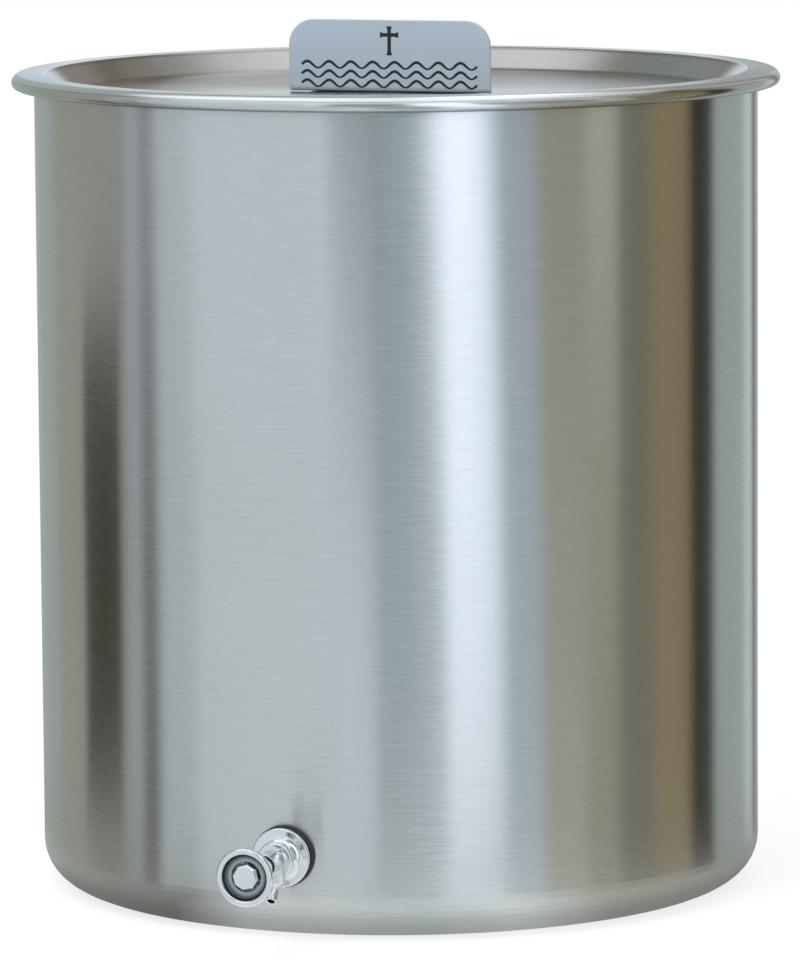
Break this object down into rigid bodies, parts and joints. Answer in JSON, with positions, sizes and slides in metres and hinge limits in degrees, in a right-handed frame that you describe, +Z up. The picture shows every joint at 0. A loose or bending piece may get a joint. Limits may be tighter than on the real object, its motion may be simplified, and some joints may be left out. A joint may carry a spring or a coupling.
{
  "type": "holy water tank",
  "caption": "Upright cylindrical steel tank with a rolled rim, a recessed lift-off lid whose sign plate serves as its handle, and a small push-button tap near the base.",
  "frame": {"origin": "centre of the tank's base, on the surface that the base stands on", "axes": "+Z up along the tank's axis, +Y from the tap towards the back, +X to the right as the sign is read; the tap and the sign's face point along -Y"},
  "size_m": [0.3134, 0.3529, 0.3537],
  "materials": {
    "tank_steel": "brushed, satin",
    "lid_steel": "brushed, satin",
    "sign_metal": "matte, cool grey",
    "rivet_metal": "satin",
    "tap_chrome": "polished",
    "tap_rubber": "matte black",
    "tap_brass": "as machined",
    "spring_steel": "drawn wire"
  },
  "bodies": {
    "tank": {"tank": "tank_steel", "outer_gasket": "tap_rubber", "inner_seal": "tap_rubber", "shank_washer": "tap_brass", "lock_nut": "tap_brass", "tap_body": "tap_chrome", "spout": "tap_chrome", "guard_washer": "tap_rubber", "button_guard": "tap_chrome", "stem_seal": "tap_rubber", "return_spring": "spring_steel"},
    "lid": {"lid": "lid_steel", "sign_plate": "sign_metal", "sign_rivet_left": "rivet_metal", "sign_rivet_right": "rivet_metal"},
    "button": {"push_button": "tap_chrome", "stem": "tap_brass", "valve_disc": "tap_rubber", "valve_retainer": "tap_brass"}
  },
  "joints": [
    {"name": "lid_lift", "type": "slide", "parent": "tank", "child": "lid", "axis": [0, 0, 1], "range_m": [0, 0.2]},
    {"name": "button_push", "type": "slide", "parent": "tank", "child": "button", "axis": [0, 1, 0], "range_m": [0, 0.0035], "stiffness_N_per_m": 800, "springref_m": -0.002, "deforming": ["return_spring"]}
  ]
}
